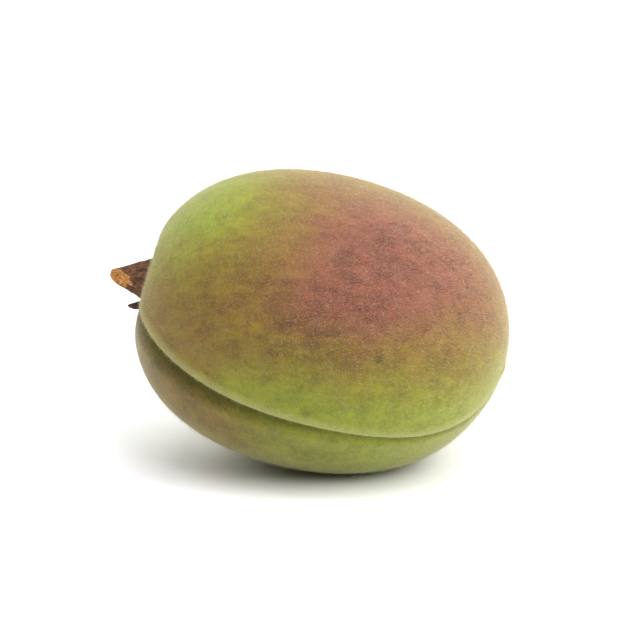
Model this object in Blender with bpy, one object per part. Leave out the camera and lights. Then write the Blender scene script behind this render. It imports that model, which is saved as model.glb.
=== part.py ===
"""Apricot: one unripe fruit lying on its side, with the stub of its stalk.

Frame: metres, +Z up. The origin is the middle of the small flat spot that the
fruit rests on. +X runs along the fruit, from the stalk end to the tip. The
suture, the seam down one side of the fruit, faces -Y and a little downwards.
"""
import math

import bmesh
import bpy
import numpy as np
from mathutils import Matrix, Vector

# Fruit: its body, in metres.
HALF_LENGTH = 0.0229        # from the middle of the axis to each end
BELLY_RADIUS = 0.0181       # round the middle
STALK_FULLNESS = 0.03       # how much thicker the stalk half is
END_BLUNTNESS = 0.12        # how much blunter than an ellipse both ends are
SUTURE_PLANE_GROWTH = 0.01  # extra radius in the suture's own plane
AXIS_SHEAR = 0.0008         # how far the ends sit off the body's own axis
CAVITY_DEPTH = 0.0032       # funnel that the stalk stands in
CAVITY_RADIUS = 0.0040
TIP_NUB_HEIGHT = 0.0002     # dry point left by the flower's style
TIP_NUB_RADIUS = 0.0011

# Suture: a seam with a round lip above it and a soft shoulder below it. A span is where
# a change begins and ends, in shares of the way from the stalk to the tip.
SUTURE_ANGLE = math.radians(-116.0)   # from straight up, towards +Y
STALK_RISE = math.radians(6.5)        # how far it climbs towards the stalk
STALK_RISE_SPAN = (0.05, 0.60)
TIP_DRIFT = math.radians(12.0)        # how far it turns aside near the tip
TIP_DRIFT_SPAN = (0.50, 0.97)
SUTURE_DEPTH_STALK = 0.0024
SUTURE_DEPTH_TIP = 0.0006
SUTURE_DEPTH_SPAN = (0.15, 0.80)
LIP_WIDTH = 0.0010
SHOULDER_WIDTH_STALK = 0.0038
SHOULDER_WIDTH_TIP = 0.0015
LIP_ROLL = 0.0002
LIP_ROLL_PLACE = 0.0017     # above the seam
LIP_ROLL_WIDTH = 0.0008
HOLLOW_DEPTH = 0.0003
HOLLOW_PLACE = 0.0040       # below the seam
HOLLOW_WIDTH = 0.0035
VALLEY_DEPTH = 0.0004
VALLEY_WIDTH = 0.0050
STALK_FADE_RADIUS = 0.0026  # the suture is half gone at this radius round the stalk
TIP_FADE_RADIUS = 0.0040

# How the fruit lies.
PITCH = math.radians(15.0)  # tip down
CENTRE_HEIGHT = 0.0177      # of the middle of the axis above the resting spot
REST_OFFSET = 0.0027        # from below that middle to the resting spot's own middle

# Stalk stub and bud scale, placed along the fruit's axis.
FIT_GAP = 0.0003
STUB_LENGTH = 0.0060
STUB_RADIUS = 0.0025
STUB_TIP_RADIUS = 0.0007
STUB_FOOT_NARROWING = 0.12
STUB_FOOT_SHARE = 0.30      # share of the stub's length that the narrowing takes
STUB_CONE_SPAN = (0.25, 1.05)
STUB_LIFT = 0.0005          # of the stub's foot above the middle of the funnel
STUB_SLANT = 0.6            # share of that lift which is lost by the broken end
BREAK_DEPTH = 0.07          # share of the stub's length that the slanted break takes
BREAK_FACING = (-1.0, -0.35, -0.45)
SCALE_LENGTH = 0.0026
SCALE_WIDTH = 0.0013
SCALE_THICKNESS = 0.00030
SCALE_CURL = 0.18           # sag of the flake per length, at its ends
SCALE_ANGLE = math.radians(-160.0)    # round the axis, as for the suture
SCALE_FROM_AXIS = 0.0038
SCALE_INSET = 0.0005        # from the end of the fruit's axis to the flake's middle
SCALE_SPREAD = math.radians(-140.0)   # how far the flake leans outwards

# Fineness of the meshes.
COLUMNS = 64
ROWS = 42
COLUMN_CROWDING = 0.70      # 0 is even, 1 puts every column at the suture
ROW_CROWDING = 1.25         # above 1 crowds the rows at the stalk end
STUB_SIDES = 20
STUB_RINGS = 9
SCALE_SIDES = 14
SCALE_RINGS = 8
CUT_MERGE_DISTANCE = 1e-7


def clear_scene():
    """Remove every object that the file starts with."""
    for thing in list(bpy.data.objects):
        bpy.data.objects.remove(thing, do_unlink=True)


def surface_material(name, color, roughness):
    """Plain non-metal material with one colour."""
    material = bpy.data.materials.new(name)
    material.use_nodes = True
    shader = material.node_tree.nodes["Principled BSDF"]
    shader.inputs["Base Color"].default_value = (*color, 1.0)
    shader.inputs["Roughness"].default_value = roughness
    shader.inputs["Metallic"].default_value = 0.0
    return material


def add_object(name, shape, material, parent):
    """Turn a bmesh into a named object that hangs on its parent."""
    bmesh.ops.recalc_face_normals(shape, faces=shape.faces)
    mesh = bpy.data.meshes.new(name)
    shape.to_mesh(mesh)
    shape.free()
    mesh.shade_smooth()
    mesh.materials.append(material)
    thing = bpy.data.objects.new(name, mesh)
    thing.parent = parent
    bpy.context.scene.collection.objects.link(thing)
    return thing


def ramp(low, high, value):
    """Smooth step: 0 at low, 1 at high."""
    part = np.clip((value - low) / (high - low), 0.0, 1.0)
    return part * part * (3.0 - 2.0 * part)


def suture_dip(across, along):
    """Depth of the skin below the plain body near the suture.

    across is the distance from the seam, positive on the upper cheek, and
    along runs from 0 at the stalk to 1 at the tip. The upper cheek turns in
    with a quarter-round lip, the lower cheek rises again in a parabola.
    """
    towards_tip = ramp(*SUTURE_DEPTH_SPAN, along)
    depth = SUTURE_DEPTH_STALK + (SUTURE_DEPTH_TIP - SUTURE_DEPTH_STALK) * towards_tip
    shoulder = SHOULDER_WIDTH_STALK + (SHOULDER_WIDTH_TIP - SHOULDER_WIDTH_STALK) * towards_tip
    from_lip = 1.0 - np.clip(across / LIP_WIDTH, 0.0, 1.0)
    from_shoulder = 1.0 - np.clip(-across / shoulder, 0.0, 1.0)
    upper = 1.0 - np.sqrt(1.0 - from_lip ** 2)
    lower = from_shoulder ** 2
    seam = depth * np.where(across > 0.0, upper, lower)
    roll = LIP_ROLL * np.exp(-((across - LIP_ROLL_PLACE) / LIP_ROLL_WIDTH) ** 2)
    hollow = HOLLOW_DEPTH * np.exp(-((across + HOLLOW_PLACE) / HOLLOW_WIDTH) ** 2)
    valley = VALLEY_DEPTH * np.exp(-(across / VALLEY_WIDTH) ** 2)
    return seam + hollow + valley - roll


def fruit_surface(turn, around):
    """Skin of the fruit, on its own axis.

    turn runs from 0 at the stalk to pi at the tip, around is the angle from
    the suture. The body is an ellipsoid, fuller at the stalk and blunter at
    both ends, with a funnel for the stalk and a seam down one side.
    """
    cosine = np.cos(turn)
    radius = BELLY_RADIUS * np.sin(turn) * (1.0 + STALK_FULLNESS * cosine)
    radius = radius * (1.0 + END_BLUNTNESS * cosine ** 2)
    along = turn / math.pi
    fade_radius = np.where(cosine > 0.0, STALK_FADE_RADIUS, TIP_FADE_RADIUS)
    pole_fade = radius ** 2 / (radius ** 2 + fade_radius ** 2)
    dip = pole_fade * suture_dip(around * radius, along)
    reach = radius * (1.0 + SUTURE_PLANE_GROWTH * np.cos(2.0 * around)) - dip
    reach = np.maximum(reach, 0.0)
    funnel = np.where(cosine > 0.0, CAVITY_DEPTH * np.exp(-(radius / CAVITY_RADIUS) ** 2), 0.0)
    nub = np.where(cosine < 0.0, TIP_NUB_HEIGHT * np.exp(-(radius / TIP_NUB_RADIUS) ** 2), 0.0)
    rise = STALK_RISE * (1.0 - ramp(*STALK_RISE_SPAN, along))
    drift = TIP_DRIFT * ramp(*TIP_DRIFT_SPAN, along)
    angle = SUTURE_ANGLE + around + rise - drift
    x = -HALF_LENGTH * cosine + funnel + nub + 0.0 * around
    y = reach * np.sin(angle)
    z = reach * np.cos(angle) - AXIS_SHEAR * cosine
    return np.stack([x, y, z], axis=-1)


def fruit_grid():
    """Rows from stalk to tip and columns round the fruit, crowded at the suture."""
    row = np.arange(1, ROWS) / ROWS
    column = 2.0 * np.arange(COLUMNS) / COLUMNS - 1.0
    turn = math.pi * row ** ROW_CROWDING
    around = math.pi * column - COLUMN_CROWDING * np.sin(math.pi * column)
    return turn[:, None], around[None, :]


def tube_of_rings(shape, rings, first_end, last_end):
    """Join rings of points with quads and close both ends on a point."""
    loops = [[shape.verts.new(point) for point in ring] for ring in rings]
    for near, far in zip(loops[:-1], loops[1:]):
        for index in range(len(near)):
            following = (index + 1) % len(near)
            shape.faces.new((near[index], near[following], far[following], far[index]))
    for loop, end in ((loops[0], first_end), (loops[-1], last_end)):
        tip = shape.verts.new(end)
        for index in range(len(loop)):
            shape.faces.new((tip, loop[index], loop[(index + 1) % len(loop)]))


def slice_off(shape, point, outward):
    """Cut away what lies beyond a plane and close the cut with one flat face."""
    everything = shape.verts[:] + shape.edges[:] + shape.faces[:]
    cut = bmesh.ops.bisect_plane(shape, geom=everything, dist=CUT_MERGE_DISTANCE,
                                 plane_co=point, plane_no=outward, clear_outer=True)
    rim = [item for item in cut["geom_cut"] if isinstance(item, bmesh.types.BMEdge)]
    bmesh.ops.contextual_create(shape, geom=rim)


def make_axis():
    """Empty at the middle of the fruit, tipped so that the tip end is lower."""
    axis = bpy.data.objects.new("fruit_axis", None)
    axis.location = (-REST_OFFSET, 0.0, CENTRE_HEIGHT)
    axis.rotation_euler = (0.0, PITCH, 0.0)
    bpy.context.scene.collection.objects.link(axis)
    return axis


def make_fruit(axis):
    """The whole fruit as one closed body with a flat spot to rest on."""
    turn, around = fruit_grid()
    rings = fruit_surface(turn, around)
    ends = [fruit_surface(np.array([[end]]), np.zeros((1, 1)))[0, 0] for end in (0.0, math.pi)]
    shape = bmesh.new()
    tube_of_rings(shape, rings, ends[0], ends[1])
    to_axis = axis.matrix_basis.inverted()
    down = to_axis.to_3x3() @ Vector((0.0, 0.0, -1.0))
    slice_off(shape, to_axis @ Vector((0.0, 0.0, 0.0)), down)
    skin = surface_material("apricot_skin", (0.33, 0.27, 0.08), 0.75)
    return add_object("fruit", shape, skin, axis)


def stub_radius(along):
    """Radius of the stub: a little waisted at its foot, then a cone to the broken end."""
    foot = 1.0 - STUB_FOOT_NARROWING * max(0.0, 1.0 - along / STUB_FOOT_SHARE) ** 2
    cone = 1.0 - (1.0 - STUB_TIP_RADIUS / STUB_RADIUS) * ramp(*STUB_CONE_SPAN, along)
    return STUB_RADIUS * foot * cone


def stub_height(along):
    """Height of the stub's middle line above the fruit's axis."""
    return STUB_LIFT * (1.0 - STUB_SLANT * along) - AXIS_SHEAR


def make_stub(axis):
    """Woody stub that stands in the funnel, broken off at a slant."""
    foot = -HALF_LENGTH + CAVITY_DEPTH - FIT_GAP
    rim_drop = CAVITY_DEPTH * (1.0 - math.exp(-(STUB_RADIUS / CAVITY_RADIUS) ** 2))
    angles = np.arange(STUB_SIDES) * 2.0 * math.pi / STUB_SIDES
    rings = []
    for along in np.linspace(0.0, 1.0, STUB_RINGS):
        radius = stub_radius(along)
        centre = foot - rim_drop - along * (STUB_LENGTH - rim_drop)
        height = stub_height(along)
        rings.append([(centre, radius * math.sin(a), radius * math.cos(a) + height) for a in angles])
    shape = bmesh.new()
    tube_of_rings(shape, rings, (foot - FIT_GAP, 0.0, stub_height(0.0)),
                  (foot - STUB_LENGTH, 0.0, stub_height(1.0)))
    break_point = Vector((foot - STUB_LENGTH * (1.0 - BREAK_DEPTH), 0.0, stub_height(1.0)))
    slice_off(shape, break_point, Vector(BREAK_FACING).normalized())
    bark = surface_material("stalk_bark", (0.10, 0.045, 0.018), 0.8)
    return add_object("stalk_stub", shape, bark, axis)


def make_scale(axis):
    """Dry bud scale: a small curled flake beside the stub, in the funnel."""
    shape = bmesh.new()
    bmesh.ops.create_uvsphere(shape, u_segments=SCALE_SIDES, v_segments=SCALE_RINGS, radius=0.5)
    for vert in shape.verts:
        along, across, through = vert.co.z, vert.co.x, vert.co.y
        sag = SCALE_CURL * (along ** 2 + across ** 2)
        vert.co = (along * SCALE_LENGTH, across * SCALE_WIDTH,
                   through * SCALE_THICKNESS + sag * SCALE_LENGTH)
    lean = Matrix.Rotation(SCALE_SPREAD, 4, "Y")
    stand_off = Matrix.Translation((SCALE_INSET - HALF_LENGTH, 0.0, SCALE_FROM_AXIS))
    round_axis = Matrix.Rotation(-SCALE_ANGLE, 4, "X")
    shear = Matrix.Translation((0.0, 0.0, -AXIS_SHEAR))
    shape.transform(shear @ round_axis @ stand_off @ lean)
    husk = surface_material("dry_scale", (0.05, 0.03, 0.015), 0.85)
    return add_object("bud_scale", shape, husk, axis)


clear_scene()
fruit_axis = make_axis()
make_fruit(fruit_axis)
make_stub(fruit_axis)
make_scale(fruit_axis)
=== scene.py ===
"""Apricot: the finished looks of one unripe fruit that lies on its side.

Everything is in metres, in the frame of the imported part: the origin is the middle of the
spot that the fruit rests on, +X runs from the stalk end to the tip, and +Z is up.
"""
import math

import bpy
import numpy as np
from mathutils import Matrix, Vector


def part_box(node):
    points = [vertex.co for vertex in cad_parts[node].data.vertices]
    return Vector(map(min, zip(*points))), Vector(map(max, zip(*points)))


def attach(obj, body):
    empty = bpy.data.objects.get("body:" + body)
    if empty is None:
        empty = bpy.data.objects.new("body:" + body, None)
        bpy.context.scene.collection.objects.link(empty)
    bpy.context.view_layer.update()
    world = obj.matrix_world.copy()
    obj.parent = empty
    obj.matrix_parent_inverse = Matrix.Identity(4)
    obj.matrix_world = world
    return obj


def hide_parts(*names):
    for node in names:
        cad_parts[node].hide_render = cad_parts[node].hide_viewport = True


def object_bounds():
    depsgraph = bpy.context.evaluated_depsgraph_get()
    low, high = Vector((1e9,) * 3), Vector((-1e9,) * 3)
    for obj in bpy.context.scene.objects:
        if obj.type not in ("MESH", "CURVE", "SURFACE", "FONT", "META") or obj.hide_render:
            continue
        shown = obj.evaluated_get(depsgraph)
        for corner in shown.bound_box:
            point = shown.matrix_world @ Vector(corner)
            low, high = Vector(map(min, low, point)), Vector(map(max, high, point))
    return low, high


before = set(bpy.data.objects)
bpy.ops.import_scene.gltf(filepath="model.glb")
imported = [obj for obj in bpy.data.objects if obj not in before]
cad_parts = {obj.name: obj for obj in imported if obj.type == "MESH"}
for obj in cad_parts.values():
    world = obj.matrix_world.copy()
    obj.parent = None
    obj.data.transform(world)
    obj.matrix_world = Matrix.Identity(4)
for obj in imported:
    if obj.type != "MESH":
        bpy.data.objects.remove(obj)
cad_low, cad_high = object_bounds()


# ---------------------------------------------------------------- the fruit
# One grown body of flesh under a thin skin: fuller at the stalk, blunter than an
# ellipse at both ends, with a funnel where the stalk stands and a seam down one side.
# The skin is yellow-green, flushed dusky red where the sun reached it.

fruit_low, fruit_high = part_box("fruit")
half_length = 0.503 * (fruit_high.x - fruit_low.x)
belly_radius = 0.790 * half_length
funnel_depth = 0.140 * half_length
funnel_radius = 0.175 * half_length
axis_offset = 0.0008                  # the stalk lies this much below the axis, the tip above it
pitch = math.radians(15.0)            # the tip end lies lower than the stalk end
seam_angle = math.radians(-116.0)     # from straight up, over the front
stalk_rise = math.radians(6.5)        # the seam climbs by this angle near the stalk
tip_drift = math.radians(12.0)        # and drops by this one near the tip


def ramp(low, high, value):
    """Smooth step: 0 at low, 1 at high, with no slope at either end."""
    part = np.clip((value - low) / (high - low), 0.0, 1.0)
    return part * part * (3.0 - 2.0 * part)


def bump(value, middle, width):
    """Bell curve: 1 at the middle, falling to a third at one width away."""
    return np.exp(-((value - middle) / width) ** 2)


def seam_dip(across, along):
    """Depth of the skin below the plain body, near the seam.

    The upper cheek turns in as a quarter circle over the lip's width. The lower cheek
    rises again as a parabola over the shoulder's width. A low roll lies along the lip, and
    a hollow and a wide valley lie round the whole seam. across is the distance from the
    seam, positive on the upper cheek, and along runs from 0 at the stalk to 1 at the tip.
    """
    towards_tip = ramp(0.15, 0.80, along)
    depth = 0.0024 - 0.0018 * towards_tip
    shoulder = 0.0038 - 0.0023 * towards_tip
    lip_width = 0.0010
    from_lip = 1.0 - np.clip(across / lip_width, 0.0, 1.0)
    from_shoulder = 1.0 - np.clip(-across / shoulder, 0.0, 1.0)
    upper = 1.0 - np.sqrt(1.0 - from_lip ** 2)
    lower = from_shoulder ** 2
    fold = depth * np.where(across > 0.0, upper, lower)
    roll = 0.0002 * bump(across, 1.7 * lip_width, 0.8 * lip_width)
    hollow = 0.0003 * bump(across, -0.0040, 0.0035)
    valley = 0.0004 * bump(across, 0.0, 0.0050)
    return fold + hollow + valley - roll


def body_radius(turn):
    """Distance of the skin from the axis, before the seam: a stretched, blunted circle."""
    cosine = np.cos(turn)
    return belly_radius * np.sin(turn) * (1.0 + 0.03 * cosine) * (1.0 + 0.12 * cosine ** 2)


def seam_fade(radius, cosine):
    """Share of the seam that is left near an end: half of it where the radius is the width."""
    width = np.where(cosine > 0.0, 0.0026, 0.0040)
    return radius ** 2 / (radius ** 2 + width ** 2)


def fruit_points(turn, around):
    """Skin of the fruit, pitched as it lies but not yet set down.

    turn runs from 0 at the stalk to pi at the tip, and around is the angle from the seam.
    Each point lies at the body's radius less the seam's dip, plus a few slow waves that
    make the cheeks a little uneven. The funnel is a bell curve pushed in at the stalk.
    """
    along = turn / math.pi
    cosine = np.cos(turn)
    radius = body_radius(turn)
    fade = seam_fade(radius, cosine)
    across = around * radius
    overhang = 0.0003 * bump(across, 0.0007, 0.0006) * fade
    dip = fade * seam_dip(across, along)
    waves = np.sin(3.0 * around + 2.0 * turn + 0.6) + 0.7 * np.sin(5.0 * around - 3.0 * turn)
    waves = waves + 0.8 * np.sin(4.0 * turn + 2.0 * around + 1.9)
    uneven = 0.00007 * waves * np.sin(turn)
    reach = radius * (1.0 + 0.01 * np.cos(2.0 * around)) - dip + uneven
    reach = np.maximum(reach, 0.0)
    leaning = around - overhang / np.maximum(radius, 0.001)
    angle = (seam_angle + leaning + stalk_rise * ramp(0.60, 0.05, along)
             - tip_drift * ramp(0.50, 0.97, along))
    funnel = funnel_depth * np.exp(-(radius / funnel_radius) ** 2) * (cosine > 0.0)
    nub = 0.0002 * np.exp(-(radius / 0.0011) ** 2) * (cosine < 0.0)
    x = -half_length * cosine + funnel + nub
    y = reach * np.sin(angle)
    z = reach * np.cos(angle) - axis_offset * cosine
    return np.stack([x * math.cos(pitch) + z * math.sin(pitch), y,
                     z * math.cos(pitch) - x * math.sin(pitch)], axis=-1)


def pole_to_pole(rows, columns, crowding):
    """Grid of turn and around, finer near the stalk and, by the crowding, at the seam."""
    row = np.arange(1, rows) / rows
    column = 2.0 * np.arange(columns) / columns - 1.0
    turn = math.pi * row ** 1.12
    around = math.pi * column - crowding * np.sin(math.pi * column)
    return np.meshgrid(turn, around, indexing="ij")


def closed_mesh(name, rings, first_end, last_end):
    """Mesh of rings of points: quads between neighbouring rings, a fan on each end point."""
    count, sides = rings.shape[:2]
    points = np.concatenate([rings.reshape(-1, 3), [first_end], [last_end]])
    near = np.arange(count * sides).reshape(count, sides)
    beside = np.roll(near, -1, axis=1)
    quads = np.stack([near[:-1], near[1:], beside[1:], beside[:-1]], axis=-1).reshape(-1, 4)
    first = np.stack([np.full(sides, count * sides), near[0], beside[0]], axis=-1)
    last = np.stack([np.full(sides, count * sides + 1), beside[-1], near[-1]], axis=-1)
    fans = np.concatenate([first, last])
    corners = np.concatenate([quads.ravel(), fans.ravel()])
    sizes = np.concatenate([np.full(len(quads), 4), np.full(len(fans), 3)])
    mesh = bpy.data.meshes.new(name)
    mesh.vertices.add(len(points))
    mesh.vertices.foreach_set("co", points.astype(np.float32).ravel())
    mesh.loops.add(len(corners))
    mesh.loops.foreach_set("vertex_index", corners.astype(np.int32))
    mesh.polygons.add(len(sizes))
    mesh.polygons.foreach_set("loop_start", (np.cumsum(sizes) - sizes).astype(np.int32))
    mesh.update(calc_edges=True)
    mesh.validate()
    mesh.shade_smooth()
    return mesh


def add_piece(name, mesh, material):
    """Object of the finished mesh, at the origin, that rides on the one body."""
    piece = bpy.data.objects.new(name, mesh)
    bpy.context.scene.collection.objects.link(piece)
    piece.data.materials.append(material)
    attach(piece, "root")
    return piece


def paint(mesh, name, values):
    """One number for each point of the mesh, for its material to read."""
    attribute = mesh.attributes.new(name, "FLOAT", "POINT")
    attribute.data.foreach_set("value", np.asarray(values, np.float32).ravel())


turn, around = pole_to_pole(216, 440, 0.80)
skin_rings = fruit_points(turn, around)
skin_ends = [fruit_points(np.array(end), np.array(0.0)) for end in (0.0, math.pi)]

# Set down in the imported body's own box, then pressed flat where it meets the surface: each
# height becomes the soft maximum of itself and zero.
lowest = skin_rings.min(axis=(0, 1))
highest = skin_rings.max(axis=(0, 1))
set_down = np.array([(fruit_low.x + fruit_high.x) / 2 - (lowest[0] + highest[0]) / 2,
                     (fruit_low.y + fruit_high.y) / 2 - (lowest[1] + highest[1]) / 2,
                     fruit_high.z - highest[2]])
skin_rings = skin_rings + set_down
skin_ends = [end + set_down for end in skin_ends]
press = 0.00012
skin_rings[..., 2] = (skin_rings[..., 2] + np.sqrt(skin_rings[..., 2] ** 2 + press ** 2)) / 2

skin_mesh = closed_mesh("fruit_skin", skin_rings, skin_ends[0], skin_ends[1])
fruit_middle = set_down


def facing(points, direction, width_degrees):
    """Bell curve of the angle between a direction and the line from the fruit's middle."""
    line = points - fruit_middle
    line = line / np.linalg.norm(line, axis=-1, keepdims=True)
    toward = np.array(direction) / np.linalg.norm(direction)
    angle = np.degrees(np.arccos(np.clip(line @ toward, -1.0, 1.0)))
    return np.exp(-(angle / width_degrees) ** 2)


# For every point of the skin: its distance from the seam, positive on the upper cheek; the
# share of the seam that is left there; its turn from the stalk; and a fade that ends the
# seam's colours before they come round to the far side.
skin_points = np.concatenate([skin_rings.reshape(-1, 3), skin_ends])
seam_distance = np.concatenate([(around * body_radius(turn)).ravel(), [0.0, 0.0]])
seam_share = np.concatenate([seam_fade(body_radius(turn), np.cos(turn)).ravel(), [0.0, 0.0]])
turns = np.concatenate([turn.ravel(), [0.0, math.pi]])
stalk_to_tip = turns / math.pi
seam_side = ramp(-2.7, -1.2, np.concatenate([around.ravel(), [0.0, 0.0]]))
below_seam = ramp(0.0, -0.0004, seam_distance)

# The flush, from 0 for green skin to 1 for the reddest, as soft patches on the cheeks.
# Each patch is where it lies from the fruit's middle, its width in degrees, and its strength.
blush = np.full(len(skin_points), 0.24)
for patch, width, strength in (
    ((0.33, -0.79, 0.52), 33, 0.72),
    ((0.72, -0.33, 0.61), 32, 0.42),
    ((0.94, -0.20, 0.26), 26, 0.32),
    ((-0.77, -0.61, 0.21), 30, 0.45),
    ((-0.27, -0.88, 0.38), 25, 0.19),
    ((0.00, -0.10, 0.99), 34, 0.42),
    ((-0.62, -0.67, -0.42), 20, 0.26),
    ((-0.64, -0.16, 0.75), 30, -0.42),
):
    blush += strength * facing(skin_points, patch, width)

# The skin stays greener along the seam and under it, but not near the stalk.
seam_reach = ramp(0.10, 0.45, stalk_to_tip)
blush -= 0.21 * bump(seam_distance, 0.0015, 0.0060) * seam_reach
blush -= 0.22 * below_seam * seam_reach * facing(skin_points, (0.35, -0.62, -0.70), 60)
paint(skin_mesh, "blush", blush)

# Along the seam: the lip of the upper cheek, painted paler, partly for the lighter skin of the
# seam and partly as a painted highlight on its edge; and painted shade down in the fold, wide at
# the stalk and narrow at the tip. Painted shade also makes the lower cheek browner and darker
# towards the stalk, and the front of the fruit a little darker than its sides.
crease_shade_width = 0.0056 - 0.0046 * ramp(0.10, 0.62, stalk_to_tip)
crease_shade = (np.clip(1.0 + seam_distance / crease_shade_width, 0.0, 1.0) ** 1.4
          * ramp(0.0006, 0.0, seam_distance) * seam_side)
lower_cheek_shade = (below_seam * (0.20 + 0.80 * ramp(0.72, 0.30, stalk_to_tip))
        * ramp(-0.024, -0.014, seam_distance) * seam_side)
# A painted highlight along the lip's edge, partly the paler skin of the seam.
paint(skin_mesh, "lip", seam_share * bump(seam_distance, 0.0007, 0.0010))
# Painted shade down in the fold of the seam.
paint(skin_mesh, "crease_shade", seam_share * crease_shade)
# Painted shade on the lower cheek: browner and darker towards the stalk.
paint(skin_mesh, "lower_cheek_shade", lower_cheek_shade)
# Painted shade: the front of the fruit and the lower cheek a little darker.
paint(skin_mesh, "shade", 0.14 * facing(skin_points, (0.10, -0.98, 0.14), 28) + 0.21 * lower_cheek_shade)

# The dry point at the tip, the paler funnel at the stalk, and two brown specks.
paint(skin_mesh, "tip", bump(math.pi - turns, 0.0, 0.06))
paint(skin_mesh, "funnel", bump(turns, 0.0, 0.16))
speck = (facing(skin_points, (0.46, -0.88, 0.05), 1.4)
         + 0.6 * facing(skin_points, (0.0, -0.94, -0.33), 1.2))
paint(skin_mesh, "speck", speck)


def node(tree, kind, **settings):
    """New shader node. Capital-letter words are values for its sockets, others its settings."""
    made = tree.nodes.new(kind)
    for word, value in settings.items():
        socket = word.replace("_", " ")
        if word[0].isupper():
            made.inputs[socket].default_value = value
        else:
            setattr(made, word, value)
    return made


def calculate(tree, operation, first, second=None):
    """Math node on sockets or plain numbers, and its result."""
    made = tree.nodes.new("ShaderNodeMath")
    made.operation = operation
    for slot_number, term in enumerate((first, second)):
        if isinstance(term, (int, float)):
            made.inputs[slot_number].default_value = term
        elif term is not None:
            tree.links.new(term, made.inputs[slot_number])
    return made.outputs[0]


def mix_colors(tree, amount, under, over, blend_type="MIX"):
    """Colour that goes from under to over by the amount, on the node's colour sockets."""
    made = tree.nodes.new("ShaderNodeMix")
    made.data_type = "RGBA"
    made.blend_type = blend_type
    for slot_number, term in ((0, amount), (6, under), (7, over)):
        if isinstance(term, bpy.types.NodeSocket):
            tree.links.new(term, made.inputs[slot_number])
        else:
            made.inputs[slot_number].default_value = term
    return made.outputs[2]


def grey_of(tree, value):
    """Grey colour of a single value."""
    made = tree.nodes.new("ShaderNodeCombineColor")
    for socket in made.inputs[:3]:
        tree.links.new(value, socket)
    return made.outputs["Color"]


def painted(tree, name):
    """The number that the mesh carries under this name."""
    return node(tree, "ShaderNodeAttribute", attribute_name=name).outputs["Fac"]


def color_steps(tree, amount, steps):
    """Colour ramp through (place, colour) steps."""
    made = tree.nodes.new("ShaderNodeValToRGB")
    band = made.color_ramp
    while len(band.elements) < len(steps):
        band.elements.new(0.5)
    for element, (place, color) in zip(band.elements, steps):
        element.position = place
        element.color = (*color, 1.0)
    tree.links.new(amount, made.inputs["Fac"])
    return made.outputs["Color"]


def start_material(name, roughness, specular):
    """New material with this finish, its node tree and its Principled shader."""
    made = bpy.data.materials.new(name)
    made.use_nodes = True
    shader = made.node_tree.nodes["Principled BSDF"]
    shader.inputs["Roughness"].default_value = roughness
    shader.inputs["Specular IOR Level"].default_value = specular
    return made, made.node_tree, shader


def own_place(tree):
    """Place on the piece, in its own coordinates."""
    return tree.nodes.new("ShaderNodeTexCoord").outputs["Object"]


def start_group(name, given, results):
    """New shader group with these sockets, and its own ends: what comes in and what goes out."""
    group = bpy.data.node_groups.new(name, "ShaderNodeTree")
    for names, in_out in ((given, "INPUT"), (results, "OUTPUT")):
        for socket in names:
            kind = "NodeSocketVector" if socket == "Vector" else "NodeSocketFloat"
            group.interface.new_socket(socket, in_out=in_out, socket_type=kind)
    inside = group.nodes.new("NodeGroupInput").outputs
    outside = group.nodes.new("NodeGroupOutput").inputs
    return group, inside, outside


def mottle_group():
    """Shader group: uneven brightness about 1, and a height, from coarse and fine noise."""
    group, inside, outside = start_group(
        "mottle", ("Vector", "Coarse", "Fine", "Strength"), ("Brightness", "Height"))
    layers = []
    for name, detail in (("Coarse", 4.0), ("Fine", 3.0)):
        noise = node(group, "ShaderNodeTexNoise", Detail=detail)
        group.links.new(inside["Vector"], noise.inputs["Vector"])
        group.links.new(inside[name], noise.inputs["Scale"])
        layers.append(calculate(group, "SUBTRACT", noise.outputs["Fac"], 0.5))
    height = calculate(group, "ADD", layers[0], layers[1])
    strong = calculate(group, "MULTIPLY", height, inside["Strength"])
    group.links.new(calculate(group, "ADD", strong, 1.0), outside["Brightness"])
    group.links.new(height, outside["Height"])
    return group


def grain_group():
    """Shader group: noise drawn out along the fruit, where Draw is the share left of its X."""
    group, inside, outside = start_group("grain", ("Vector", "Draw", "Scale"), ("Grain",))
    drawn = group.nodes.new("ShaderNodeCombineXYZ")
    drawn.inputs["Y"].default_value = 1.0
    drawn.inputs["Z"].default_value = 1.0
    group.links.new(inside["Draw"], drawn.inputs["X"])
    lengthwise = node(group, "ShaderNodeMapping", Rotation=(0.0, -pitch, 0.0))
    group.links.new(inside["Vector"], lengthwise.inputs["Vector"])
    group.links.new(drawn.outputs["Vector"], lengthwise.inputs["Scale"])
    noise = node(group, "ShaderNodeTexNoise", Detail=3.0, Roughness=0.55)
    group.links.new(lengthwise.outputs["Vector"], noise.inputs["Vector"])
    group.links.new(inside["Scale"], noise.inputs["Scale"])
    group.links.new(noise.outputs["Fac"], outside["Grain"])
    return group


mottle = mottle_group()
grain = grain_group()


def add_group(tree, group, place, **values):
    """A shader group in a material, read at a place, with this finish's own values."""
    made = node(tree, "ShaderNodeGroup", node_tree=group)
    for socket, value in values.items():
        made.inputs[socket].default_value = value
    tree.links.new(place, made.inputs["Vector"])
    return made.outputs


def add_bump(tree, shader, height, strength, depth):
    """Fine relief of this depth on the shader's normal."""
    relief = node(tree, "ShaderNodeBump", Strength=strength, Distance=depth)
    tree.links.new(height, relief.inputs["Height"])
    tree.links.new(relief.outputs["Normal"], shader.inputs["Normal"])


def lenticels(tree, place):
    """Small dark pores: 1 within a few tenths of a millimetre of scattered points."""
    points = node(tree, "ShaderNodeTexVoronoi", Scale=380.0)
    tree.links.new(place, points.inputs["Vector"])
    pore = node(tree, "ShaderNodeMapRange", interpolation_type="SMOOTHSTEP",
                From_Min=0.12, From_Max=0.05, To_Min=0.0, To_Max=1.0)
    tree.links.new(points.outputs["Distance"], pore.inputs["Value"])
    return pore.outputs["Result"]


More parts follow.
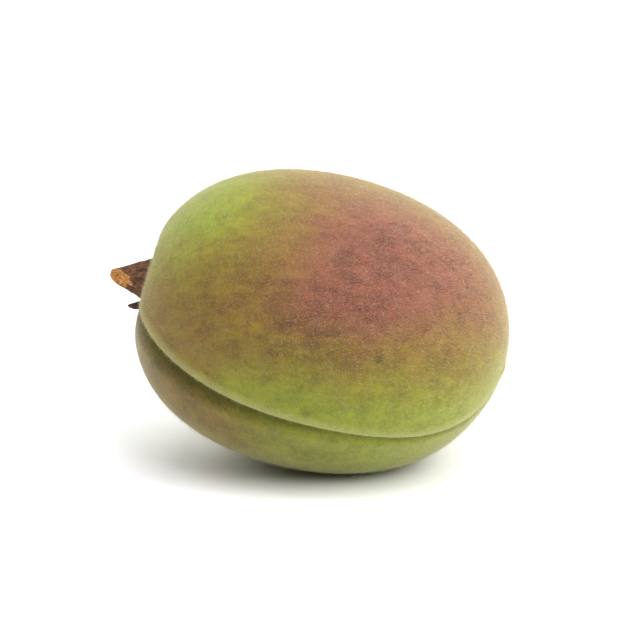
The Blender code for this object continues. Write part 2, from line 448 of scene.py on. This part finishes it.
def skin_material():
    """Green skin that reddens by the painted blush, broken up by streaks along the fruit.

    The blush, moved by soft clouds and fine streaks, picks a colour from green to dusky red.
    The mottle, the streaks and the painted shade change its brightness, and the painted
    marks lie over it, among them a painted highlight on the lip and painted shade in the fold.
    """
    made, tree, shader = start_material("apricot_skin", roughness=0.62, specular=0.15)
    place = own_place(tree)
    streaks = add_group(tree, grain, place, Draw=0.30, Scale=900.0)["Grain"]
    streak = calculate(tree, "SUBTRACT", streaks, 0.5)
    clouds = node(tree, "ShaderNodeTexNoise", Scale=170.0, Detail=3.0, Roughness=0.55)
    tree.links.new(place, clouds.inputs["Vector"])
    cloud = calculate(tree, "SUBTRACT", clouds.outputs["Fac"], 0.5)
    unrest = calculate(tree, "ADD", calculate(tree, "MULTIPLY", cloud, 0.42),
                       calculate(tree, "MULTIPLY", streak, 0.34))
    redness = calculate(tree, "ADD", painted(tree, "blush"), unrest)
    color = color_steps(tree, calculate(tree, "MULTIPLY", redness, 0.8), (
        (0.0, (0.212, 0.262, 0.018)),
        (0.2, (0.212, 0.220, 0.016)),
        (0.4, (0.196, 0.146, 0.016)),
        (0.6, (0.190, 0.100, 0.022)),
        (0.8, (0.202, 0.068, 0.038)),
        (1.0, (0.172, 0.050, 0.030)),
    ))
    # Painted shade: the lower cheek turns browner towards the stalk.
    color = mix_colors(tree, calculate(tree, "MULTIPLY", painted(tree, "lower_cheek_shade"), 0.55), color,
                       (0.170, 0.098, 0.020, 1.0))
    uneven = add_group(tree, mottle, place, Coarse=430.0, Fine=1700.0, Strength=0.85)
    strands = calculate(tree, "MULTIPLY", streak, painted(tree, "blush"))
    brightness = calculate(tree, "ADD", uneven["Brightness"],
                           calculate(tree, "MULTIPLY", strands, -1.1))
    # Painted shade takes some brightness off the front of the fruit and the lower cheek.
    brightness = calculate(tree, "SUBTRACT", brightness, painted(tree, "shade"))
    color = mix_colors(tree, 1.0, color, grey_of(tree, brightness), "MULTIPLY")
    for mark, cover, tint in (
        # A painted highlight along the lip's edge, partly the paler skin of the seam.
        (painted(tree, "lip"), 0.66, (0.330, 0.345, 0.100)),
        # Painted shade down in the fold of the seam.
        (painted(tree, "crease_shade"), 0.94, (0.034, 0.042, 0.001)),
        (painted(tree, "funnel"), 0.80, (0.150, 0.170, 0.030)),
        (lenticels(tree, place), 0.45, (0.110, 0.115, 0.015)),
        (painted(tree, "speck"), 0.95, (0.060, 0.045, 0.015)),
        (painted(tree, "tip"), 1.0, (0.090, 0.050, 0.022)),
    ):
        color = mix_colors(tree, calculate(tree, "MULTIPLY", mark, cover), color, (*tint, 1.0))
    tree.links.new(color, shader.inputs["Base Color"])
    shader.inputs["Sheen Weight"].default_value = 0.42
    shader.inputs["Sheen Roughness"].default_value = 0.45
    shader.inputs["Sheen Tint"].default_value = (1.0, 0.90, 0.72, 1.0)
    shader.inputs["Subsurface Weight"].default_value = 0.12
    shader.inputs["Subsurface Radius"].default_value = (1.0, 0.6, 0.2)
    shader.inputs["Subsurface Scale"].default_value = 0.0012
    add_bump(tree, shader, uneven["Height"], 0.35, 0.00012)
    return made


fruit_skin = add_piece("fruit_skin", skin_mesh, skin_material())
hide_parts("fruit")


# ---------------------------------------------------------------- the down
# Short soft hairs that grow all over the skin and lean towards the tip. They make the fruit
# look dusty and give it a pale rim. They are rubbed off where it rests.

down_length = 0.00042
green_hair, rosy_hair = 0.000014, 0.000018
hairs_to_a_piece = 45000
root_depth = 0.00003                  # each hair starts this far inside the skin
root_scatter = 0.00012                # and about this far from the middle of its face
rubbed_height = 0.0012                # no hairs below this height


def face_frames(mesh):
    """Middle, normal and area of every face, as arrays."""
    count = len(mesh.polygons)
    centres, normals = np.empty(count * 3, np.float32), np.empty(count * 3, np.float32)
    areas = np.empty(count, np.float32)
    mesh.polygons.foreach_get("center", centres)
    mesh.polygons.foreach_get("normal", normals)
    mesh.polygons.foreach_get("area", areas)
    return centres.reshape(-1, 3), normals.reshape(-1, 3), areas


def spikes(name, roots, directions, lengths, thickness, chance):
    """Mesh of closed three-sided spikes: a small triangle round each root and one tip."""
    helper = np.where(np.abs(directions[:, 2:3]) < 0.9, [[0.0, 0.0, 1.0]], [[1.0, 0.0, 0.0]])
    side = np.cross(directions, helper)
    side /= np.linalg.norm(side, axis=1, keepdims=True)
    other = np.cross(directions, side)
    start = chance.uniform(0.0, 2.0 * math.pi, len(roots))
    corners = []
    for third in range(3):
        angle = (start + third * 2.0 * math.pi / 3.0)[:, None]
        corners.append(roots + (np.cos(angle) * side + np.sin(angle) * other) * thickness / 2)
    corners.append(roots + directions * lengths[:, None])
    points = np.stack(corners, axis=1).reshape(-1, 3)
    first = 4 * np.arange(len(roots))[:, None, None]
    faces = first + np.array([[0, 2, 1], [0, 1, 3], [1, 2, 3], [2, 0, 3]])[None]
    mesh = bpy.data.meshes.new(name)
    mesh.from_pydata(points, [], faces.reshape(-1, 3))
    mesh.shade_smooth()
    return mesh


def down_material(name, color):
    """Pale dry hair, coloured a little by the skin that it grows on."""
    made, tree, shader = start_material(name, roughness=0.7, specular=0.3)
    shader.inputs["Base Color"].default_value = color
    return made


def grow_down(name, material, likelihood, thickness, seed):
    """One share of the hairs: roots spread by area and likelihood, leaning over to the tip.

    Each hair points along the skin's normal plus three quarters of a combed direction laid
    on the skin, which is the fruit's axis with a random part for each hair.
    """
    chance = np.random.default_rng(seed)
    centres, normals, areas = face_frames(skin_mesh)
    weight = (areas * likelihood).astype(np.float64)
    chosen = chance.choice(len(areas), hairs_to_a_piece, p=weight / weight.sum())
    normal = normals[chosen].astype(float)
    root = centres[chosen] + chance.normal(0.0, root_scatter, (hairs_to_a_piece, 3))
    root -= normal * np.sum((root - centres[chosen]) * normal, axis=1, keepdims=True)
    root -= normal * root_depth
    to_tip = np.array([math.cos(pitch), 0.0, -math.sin(pitch)])
    combed = to_tip + chance.normal(0.0, 0.55, root.shape)
    direction = normal + 0.75 * (combed - normal * np.sum(combed * normal, axis=1, keepdims=True))
    direction /= np.linalg.norm(direction, axis=1, keepdims=True)
    length = down_length * chance.uniform(0.55, 1.35, hairs_to_a_piece)
    kept = root[:, 2] > rubbed_height
    mesh = spikes(name, root[kept], direction[kept], length[kept], thickness, chance)
    add_piece(name, mesh, material)


# How likely a hair is on each face, from the face's first point: rosy hairs where the skin is
# red, green ones elsewhere, and few of either in the crease, under it and on the specks.
corner_points = np.empty(len(skin_mesh.loops), np.int32)
skin_mesh.loops.foreach_get("vertex_index", corner_points)
face_start = np.empty(len(skin_mesh.polygons), np.int32)
skin_mesh.polygons.foreach_get("loop_start", face_start)
face_point = corner_points[face_start]
rosy = np.clip(blush, 0.05, 0.95)[face_point]
open_skin = (1.0 - 0.95 * np.sqrt(seam_share * crease_shade)) * (1.0 - 0.75 * lower_cheek_shade) * (1.0 - 0.6 * speck)
open_skin = open_skin[face_point]
green_down = down_material("down_on_green", (0.60, 0.58, 0.32, 1.0))
rosy_down = down_material("down_on_red", (0.68, 0.50, 0.36, 1.0))
grow_down("down_green_1", green_down, (1.0 - rosy) * open_skin, green_hair, seed=101)
grow_down("down_green_2", green_down, (1.0 - rosy) * open_skin, green_hair, seed=102)
grow_down("down_red_1", rosy_down, rosy * open_skin, rosy_hair, seed=103)
grow_down("down_red_2", rosy_down, rosy * open_skin, rosy_hair, seed=104)


# ---------------------------------------------------------------- the stalk stub
# The woody rest of the stalk, snapped off when the fruit was picked. It stands in the funnel:
# a short barrel of wrinkled dark bark that narrows to a slanted, splintered break.

stub_low, stub_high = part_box("stalk_stub")
stub_radius = (stub_high.y - stub_low.y) / 2
stub_length = 0.0072
stub_droop = 0.0015                   # the broken end hangs this much below the foot
foot_above_funnel, foot_above_axis = 0.0003, 0.0005
stub_foot = np.array([-half_length + funnel_depth - foot_above_funnel, 0.0,
                      foot_above_axis - axis_offset])
break_place = 0.82                    # share of the stub's length where the break crosses its axis
break_facing = np.array([-0.62, -0.76, -0.12])
break_edge = 0.00012


def stub_points(along, angle):
    """Bark of the stub, then its broken face.

    The radius is a barrel that turns into a cone and closes round at the end, with long
    wrinkles and two ring scars. What lies beyond the slanted plane of the break is pushed
    back along the grain on to it, and short fibres stand out from there. The second
    result is 0 on the bark and 1 on the break.
    """
    foot = 1.0 - 0.12 * np.clip(1.0 - along / 0.3, 0.0, 1.0) ** 2
    cone = 1.0 - 0.74 * ramp(0.12, 1.00, along)
    close = np.sqrt(np.clip(1.0 - ramp(0.78, 1.0, along) ** 2, 0.0, 1.0))
    wrinkles = 0.030 * np.sin(11.0 * angle + 2.5 * np.sin(4.0 * along))
    wrinkles = wrinkles + 0.020 * np.sin(23.0 * angle) + 0.022 * np.sin(7.0 * angle - 12.0 * along)
    scars = 0.050 * bump(along, 0.30, 0.03) + 0.035 * bump(along, 0.46, 0.025)
    radius = stub_radius * foot * cone * close * (1.0 + wrinkles + scars)
    x = stub_foot[0] - along * stub_length
    y = stub_foot[1] + radius * np.sin(angle)
    z = stub_foot[2] + radius * np.cos(angle) - stub_droop * along
    facing_out = break_facing / np.linalg.norm(break_facing)
    plane_x = stub_foot[0] - break_place * stub_length
    beyond = (x - plane_x) * facing_out[0] + y * facing_out[1] + z * facing_out[2]
    broken = ramp(0.0, break_edge, beyond)
    fibres = np.sin(9000.0 * y + np.sin(7000.0 * z)) * np.sin(11000.0 * z + 1.0)
    fibres = 0.00009 * fibres + 0.00006 * np.sin(21000.0 * y + 5000.0 * z)
    x = x - np.maximum(beyond, 0.0) / facing_out[0] - broken * fibres
    return np.stack([x * math.cos(pitch) + z * math.sin(pitch), y,
                     z * math.cos(pitch) - x * math.sin(pitch)], axis=-1) + fruit_middle, broken


along, angle = np.meshgrid(np.arange(120) / 120.0, np.arange(110) * -2.0 * math.pi / 110,
                           indexing="ij")
stub_rings, broken = stub_points(along, angle)
stub_end = stub_points(np.array(1.0), np.array(0.0))[0]
stub_mesh = closed_mesh("stalk_stub_bark", stub_rings, stub_rings[0].mean(axis=0), stub_end)
paint(stub_mesh, "broken", np.concatenate([broken.ravel(), [0.0, 1.0]]))


def bark_material():
    """Dark wrinkled bark, and torn orange wood where it broke."""
    made, tree, shader = start_material("stalk_bark", roughness=0.75, specular=0.35)
    place = own_place(tree)
    fibre = add_group(tree, grain, place, Draw=0.25, Scale=3200.0)["Grain"]
    bark = color_steps(tree, fibre, (
        (0.30, (0.045, 0.018, 0.008)),
        (0.55, (0.135, 0.055, 0.022)),
        (0.75, (0.230, 0.110, 0.045)),
    ))
    wood = color_steps(tree, fibre, (
        (0.30, (0.200, 0.065, 0.015)),
        (0.52, (0.480, 0.210, 0.050)),
        (0.75, (0.640, 0.360, 0.120)),
    ))
    color = mix_colors(tree, painted(tree, "broken"), bark, wood)
    lengthwise = node(tree, "ShaderNodeMapping", Rotation=(0.0, -pitch, 0.0), Scale=(0.25, 1.0, 1.0))
    tree.links.new(place, lengthwise.inputs["Vector"])
    uneven = add_group(tree, mottle, lengthwise.outputs["Vector"],
                       Coarse=1500.0, Fine=6000.0, Strength=0.9)
    color = mix_colors(tree, 1.0, color, grey_of(tree, uneven["Brightness"]), "MULTIPLY")
    tree.links.new(color, shader.inputs["Base Color"])
    add_bump(tree, shader, uneven["Height"], 0.6, 0.00010)
    return made


stalk_stub = add_piece("stalk_stub_bark", stub_mesh, bark_material())
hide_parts("stalk_stub")


# ---------------------------------------------------------------- the bud scale
# One dry brown flake left from the bud, curled like a chip, that clings beside the stub.

scale_low, scale_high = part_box("bud_scale")
scale_length, scale_width, scale_thickness = 0.0028, 0.0012, 0.00090
scale_outward = np.array([-0.95, -0.28, -0.12])
scale_sunk = 0.0007                   # its foot goes this much further in, to reach the skin
scale_middle = (np.array(scale_low) + np.array(scale_high)) / 2 - scale_sunk * scale_outward


def scale_points(along, angle):
    """Leaf-shaped flake: an oval outline with a ragged edge, cupped along its length.

    Each ring is a flat oval whose width follows a sine from the foot to the point. Its sides
    curl up by the square of their reach, and the outer half turns up as a parabola.
    """
    ragged = 1.0 + 0.10 * np.sin(14.0 * along + angle)
    width = scale_width / 2 * np.sin(math.pi * along) ** 0.7 * ragged
    thick = scale_thickness / 2 * np.sin(math.pi * along) ** 0.5
    side = width * np.cos(angle)
    length = scale_length * (along - 0.5)
    turned_up = 0.0002 * np.clip((along - 0.55) / 0.45, 0.0, 1.0) ** 2
    curl = 0.45 * side ** 2 / scale_width + turned_up
    vein = 0.00003 * np.cos(side * 9000.0)
    lengthwise = scale_outward / np.linalg.norm(scale_outward)
    sideways = np.cross(lengthwise, [0.0, 0.0, 1.0])
    sideways = sideways / np.linalg.norm(sideways)
    upward = np.cross(sideways, lengthwise)
    rise = thick * np.sin(angle) + curl + vein
    return scale_middle + (length[..., None] * lengthwise + side[..., None] * sideways
                           + rise[..., None] * upward)


along, angle = np.meshgrid(np.arange(1, 40) / 40.0, np.arange(40) * 2.0 * math.pi / 40,
                           indexing="ij")
flake = scale_points(along, angle)
flake_ends = [scale_points(np.array(end), np.array(0.0)) for end in (0.0, 1.0)]
scale_mesh = closed_mesh("bud_scale_husk", flake, flake_ends[0], flake_ends[1])


def husk_material():
    """Dry dark brown husk, paler in patches."""
    made, tree, shader = start_material("dry_husk", roughness=0.8, specular=0.5)
    uneven = add_group(tree, mottle, own_place(tree), Coarse=2500.0, Fine=9000.0, Strength=1.0)
    color = color_steps(tree, uneven["Brightness"], (
        (0.55, (0.020, 0.009, 0.005)),
        (0.95, (0.075, 0.035, 0.016)),
    ))
    tree.links.new(color, shader.inputs["Base Color"])
    add_bump(tree, shader, uneven["Height"], 0.5, 0.00005)
    return made


bud_scale = add_piece("bud_scale_husk", scale_mesh, husk_material())
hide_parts("bud_scale")


# ---------------------------------------------------------------- floor, light and camera
# A plain white table, lit by six soft boxes above and round the fruit so that its shadow is
# short and soft. The camera has a long lens and looks a little down on it from the front.

floor_reach, floor_height = 3.0, -0.00002
floor_corners = [(-floor_reach, -floor_reach, floor_height), (floor_reach, -floor_reach, floor_height),
                 (floor_reach, floor_reach, floor_height), (-floor_reach, floor_reach, floor_height)]
floor_mesh = bpy.data.meshes.new("floor")
floor_mesh.from_pydata(floor_corners, [], [(0, 1, 2, 3)])
floor = bpy.data.objects.new("floor", floor_mesh)
bpy.context.scene.collection.objects.link(floor)
white, tree, shader = start_material("white_table", roughness=0.9, specular=0.1)
shader.inputs["Base Color"].default_value = (0.95, 0.95, 0.95, 1.0)
floor.data.materials.append(white)

world = bpy.data.worlds.new("studio")
world.use_nodes = True
world.node_tree.nodes["Background"].inputs["Color"].default_value = (1.0, 1.0, 1.0, 1.0)
world.node_tree.nodes["Background"].inputs["Strength"].default_value = 0.12
bpy.context.scene.world = world

subject = (cad_low + cad_high) / 2
box_distance, box_size = 1.0, 0.8


def soft_box(name, direction, power):
    """Square area light that faces the fruit from a direction."""
    lamp = bpy.data.lights.new(name, "AREA")
    lamp.shape = "SQUARE"
    lamp.size = box_size
    lamp.energy = power
    holder = bpy.data.objects.new(name, lamp)
    holder.location = subject + Vector(direction).normalized() * box_distance
    holder.rotation_euler = Vector(direction).to_track_quat("Z", "Y").to_euler()
    bpy.context.scene.collection.objects.link(holder)


soft_box("key", (0.60, -0.50, 0.90), 8.4)
soft_box("fill", (-0.60, -0.50, 0.90), 2.1)
soft_box("side", (1.00, -0.10, 0.60), 7.0)
soft_box("overhead", (0.00, 0.00, 1.00), 5.2)
soft_box("back", (0.35, 0.90, 0.60), 5.0)
soft_box("left", (-0.90, 0.40, 0.75), 3.8)

azimuth = math.radians(6.0)
elevation = math.radians(18.0)
camera_distance = 0.55
away = Vector((math.sin(azimuth) * math.cos(elevation), -math.cos(azimuth) * math.cos(elevation),
               math.sin(elevation)))
lens = bpy.data.cameras.new("camera")
lens.sensor_width = 36.0
lens.lens = 255.0
lens.clip_start = 0.01
camera = bpy.data.objects.new("camera", lens)
camera.location = subject + away * camera_distance
camera.rotation_euler = away.to_track_quat("Z", "Y").to_euler()
bpy.context.scene.collection.objects.link(camera)
bpy.context.scene.camera = camera
bpy.context.scene.view_settings.view_transform = "Standard"

bpy.context.view_layer.update()
